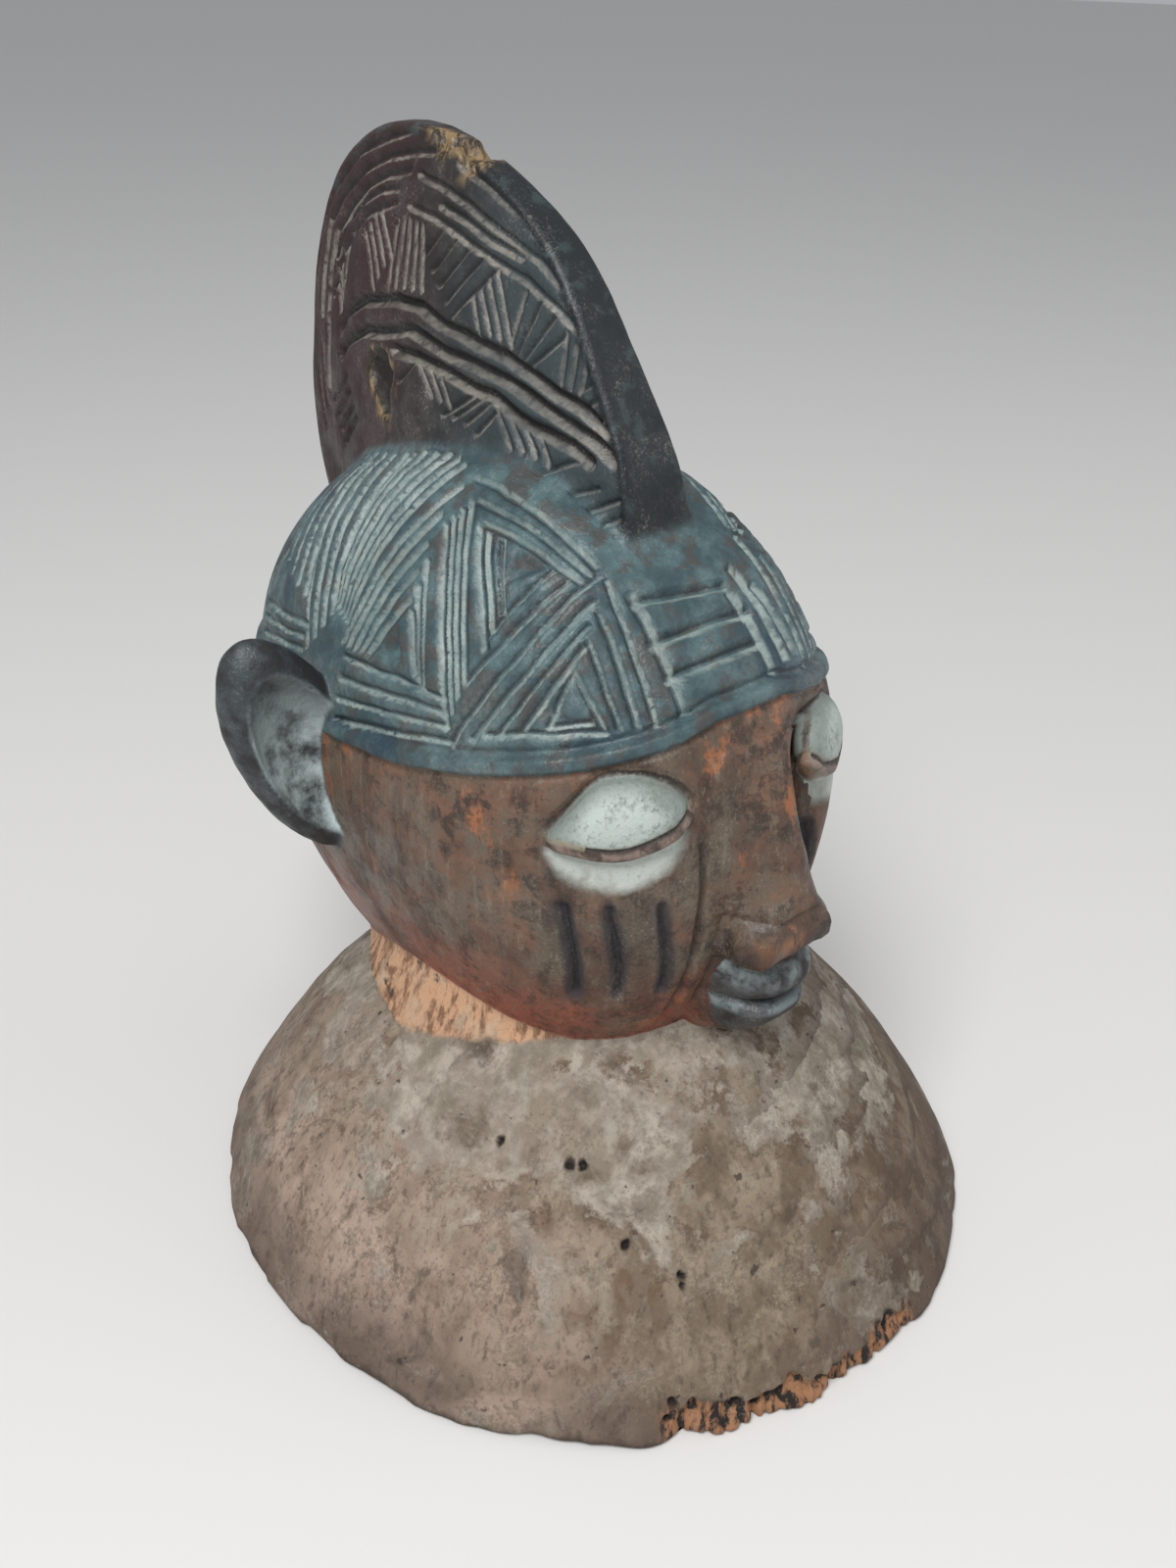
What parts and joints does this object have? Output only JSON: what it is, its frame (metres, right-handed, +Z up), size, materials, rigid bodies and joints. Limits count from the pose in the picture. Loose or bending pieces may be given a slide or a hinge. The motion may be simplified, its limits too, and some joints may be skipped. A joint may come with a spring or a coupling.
{
  "type": "carved wooden helmet mask",
  "caption": "Carved wooden mask: a head in a patterned cap with a tall lengthwise crest, on a hollow domed skirt that it stands on.",
  "frame": {"origin": "middle of the footprint of the whole mask, on the plane that its rim stands on", "axes": "+Z up; the face looks towards -Y; +X is to the mask's own left"},
  "size_m": [0.2584, 0.2852, 0.3428],
  "materials": {
    "carved_wood": "old carved wood with a worn indigo cap and crest, a brown face, pale painted eyes and a dusty grey-brown skirt"
  },
  "bodies": {
    "root": {"mask": "carved_wood"}
  },
  "joints": []
}
